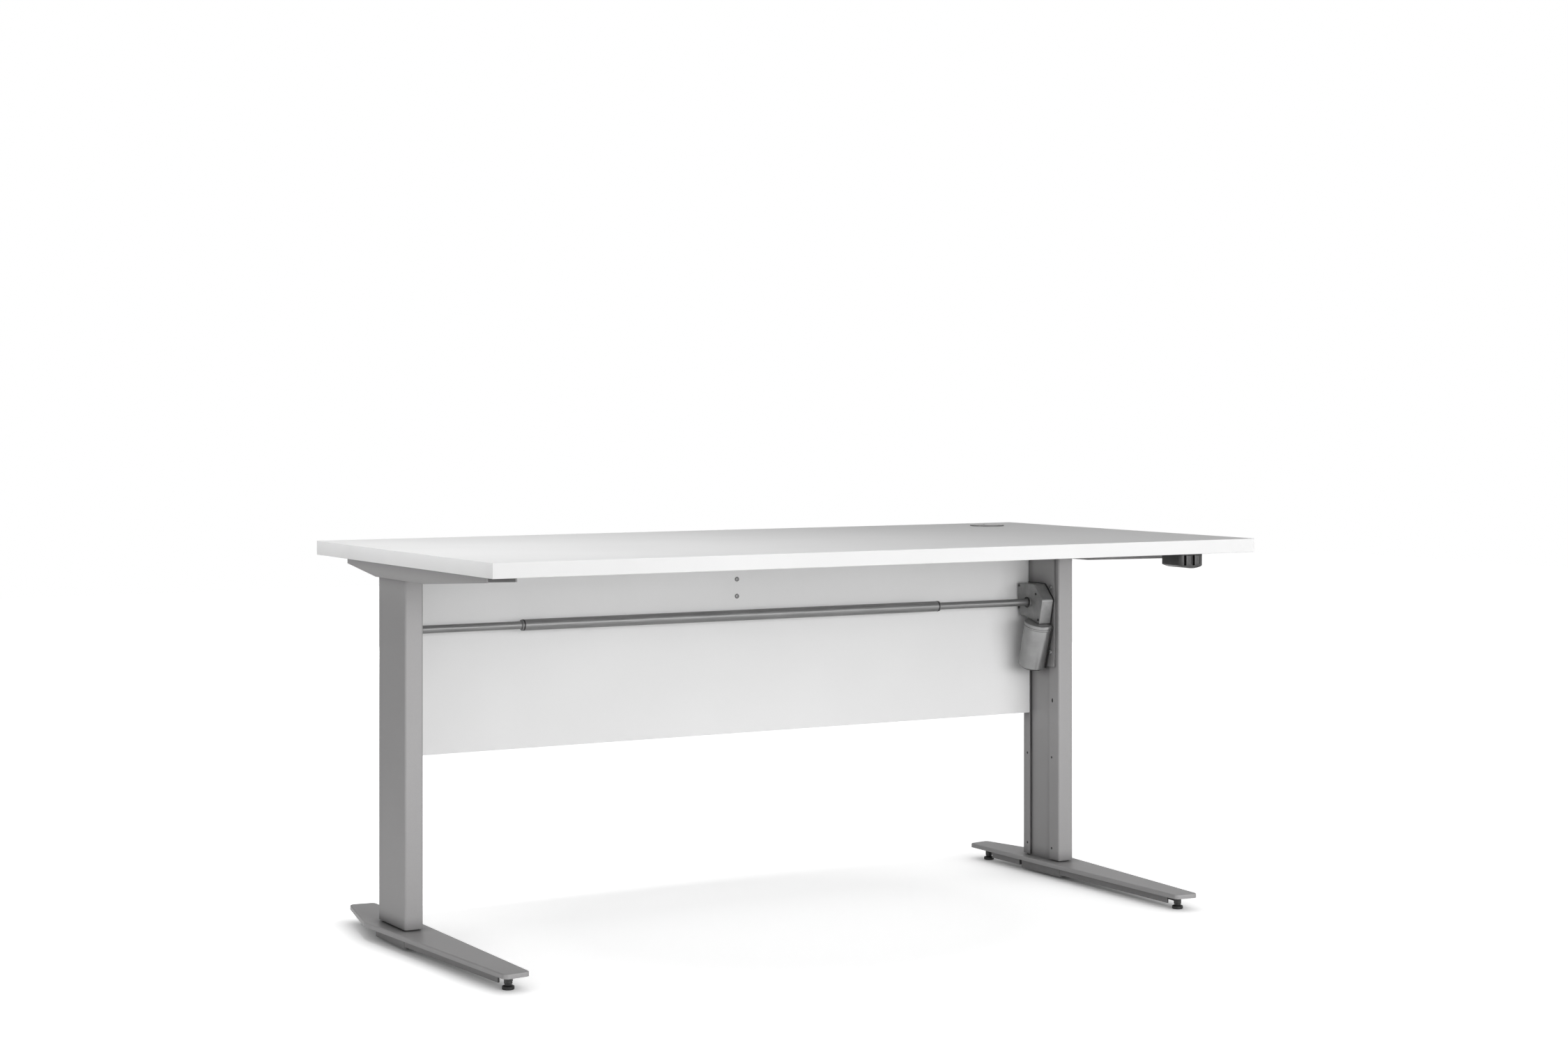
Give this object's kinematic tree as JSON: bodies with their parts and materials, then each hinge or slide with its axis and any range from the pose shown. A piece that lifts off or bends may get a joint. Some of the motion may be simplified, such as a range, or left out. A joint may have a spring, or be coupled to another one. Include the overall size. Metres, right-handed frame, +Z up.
{
  "type": "height adjustable standing desk",
  "caption": "Sit-stand desk with a rectangular tabletop, slotted telescopic columns on splayed feet, a modesty panel and a motor-driven cross shaft that raises it.",
  "frame": {"origin": "on the floor, under the middle of the tabletop", "axes": "+Z up, +X to the right and +Y to the back, as a seated user faces the desk"},
  "size_m": [1.5, 0.8, 0.69],
  "materials": {
    "melamine_white": "white melamine faced board, satin",
    "edge_white": "white edge band, satin",
    "silver_paint": "silver grey powder coat, fine texture",
    "gearbox_grey": "die cast, grey, matt",
    "motor_grey": "grey zinc coat, satin",
    "steel": "drawn steel, satin",
    "bronze": "plain bronze",
    "black_plastic": "black, fine grain",
    "grey_plastic": "silver grey, fine grain",
    "button_grey": "dark grey, satin",
    "white_plastic": "natural white, satin",
    "board_green": "green solder mask"
  },
  "bodies": {
    "base": {"left_foot_plate": "silver_paint", "left_foot_socket": "silver_paint", "left_foot_stiffeners": "silver_paint", "left_inner_column": "silver_paint", "left_spindle_nut": "bronze", "right_foot_plate": "silver_paint", "right_foot_socket": "silver_paint", "right_foot_stiffeners": "silver_paint", "right_inner_column": "silver_paint", "right_spindle_nut": "bronze"},
    "lift_frame": {"bevel_case_covers": "gearbox_grey", "circuit_board": "board_green", "column_heads": "silver_paint", "control_box": "black_plastic", "control_lid": "black_plastic", "edge_bands": "edge_white", "gearbox_case": "gearbox_grey", "gearbox_cover": "gearbox_grey", "gearbox_cover_screws": "steel", "glide_pins": "black_plastic", "grommet_liner": "grey_plastic", "head_bolts": "steel", "left_bevel_case": "gearbox_grey", "left_gear_plate": "silver_paint", "left_glides": "white_plastic", "left_outer_column": "silver_paint", "left_side_rail": "silver_paint", "modesty_panel": "melamine_white", "motor_can": "motor_grey", "motor_cap": "motor_grey", "motor_plate": "silver_paint", "panel_centre_bracket": "silver_paint", "panel_end_brackets": "silver_paint", "panel_screws": "steel", "plate_screws": "steel", "right_bevel_case": "gearbox_grey", "right_glides": "white_plastic", "right_outer_column": "silver_paint", "right_side_rail": "silver_paint", "switch_housing": "black_plastic", "tabletop": "melamine_white", "transformer": "motor_grey", "wood_screws": "steel"},
    "drive_shaft": {"drive_tube": "steel", "drive_rods": "steel", "shaft_gears": "steel", "worm_wheel": "bronze"},
    "left_screw": {"left_spindle": "steel", "left_spindle_gear": "steel"},
    "right_screw": {"right_spindle": "steel", "right_spindle_gear": "steel"},
    "motor_rotor": {"motor_armature": "steel", "worm": "steel"},
    "up_key": {"up_button": "button_grey"},
    "down_key": {"down_button": "button_grey"},
    "grommet_lid": {"grommet_cap": "grey_plastic"},
    "front_left_foot": {"front_left_leveller": "black_plastic"},
    "front_right_foot": {"front_right_leveller": "black_plastic"},
    "rear_left_foot": {"rear_left_leveller": "black_plastic"},
    "rear_right_foot": {"rear_right_leveller": "black_plastic"}
  },
  "joints": [
    {"name": "lift", "type": "slide", "parent": "base", "child": "lift_frame", "axis": [0, 0, 1], "range_m": [0, 0.48]},
    {"name": "shaft_turn", "type": "hinge", "parent": "lift_frame", "child": "drive_shaft", "pos_m": [0, 0.1635, 0.5425], "axis": [1, 0, 0], "continuous": true},
    {"name": "left_screw_turn", "type": "hinge", "parent": "lift_frame", "child": "left_screw", "pos_m": [-0.6835, 0.1635, 0.3], "axis": [0, 0, 1], "continuous": true},
    {"name": "right_screw_turn", "type": "hinge", "parent": "lift_frame", "child": "right_screw", "pos_m": [0.6835, 0.1635, 0.3], "axis": [0, 0, 1], "continuous": true},
    {"name": "motor_turn", "type": "hinge", "parent": "lift_frame", "child": "motor_rotor", "pos_m": [0.6427, 0.12986, 0.53285], "axis": [0, 0.2756, -0.9613], "continuous": true},
    {"name": "up_press", "type": "slide", "parent": "lift_frame", "child": "up_key", "axis": [0, 1, 0], "range_m": [0, 0.0025], "stiffness_N_per_m": 400},
    {"name": "down_press", "type": "slide", "parent": "lift_frame", "child": "down_key", "axis": [0, 1, 0], "range_m": [0, 0.0025], "stiffness_N_per_m": 400},
    {"name": "grommet_turn", "type": "hinge", "parent": "lift_frame", "child": "grommet_lid", "pos_m": [0.615, 0.282, 0.688], "axis": [0, 0, 1], "continuous": true},
    {"name": "front_left_level", "type": "slide", "parent": "base", "child": "front_left_foot", "axis": [0, 0, 1], "range_m": [-0.004, 0]},
    {"name": "front_right_level", "type": "slide", "parent": "base", "child": "front_right_foot", "axis": [0, 0, 1], "range_m": [-0.004, 0]},
    {"name": "rear_left_level", "type": "slide", "parent": "base", "child": "rear_left_foot", "axis": [0, 0, 1], "range_m": [-0.004, 0]},
    {"name": "rear_right_level", "type": "slide", "parent": "base", "child": "rear_right_foot", "axis": [0, 0, 1], "range_m": [-0.004, 0]}
  ],
  "couplings": [
    {"joint": "shaft_turn", "follows": "lift", "rad_per_m": -314.16},
    {"joint": "right_screw_turn", "follows": "lift", "rad_per_m": 314.16},
    {"joint": "left_screw_turn", "follows": "lift", "rad_per_m": -314.16},
    {"joint": "motor_turn", "follows": "lift", "rad_per_m": 3769.9}
  ]
}
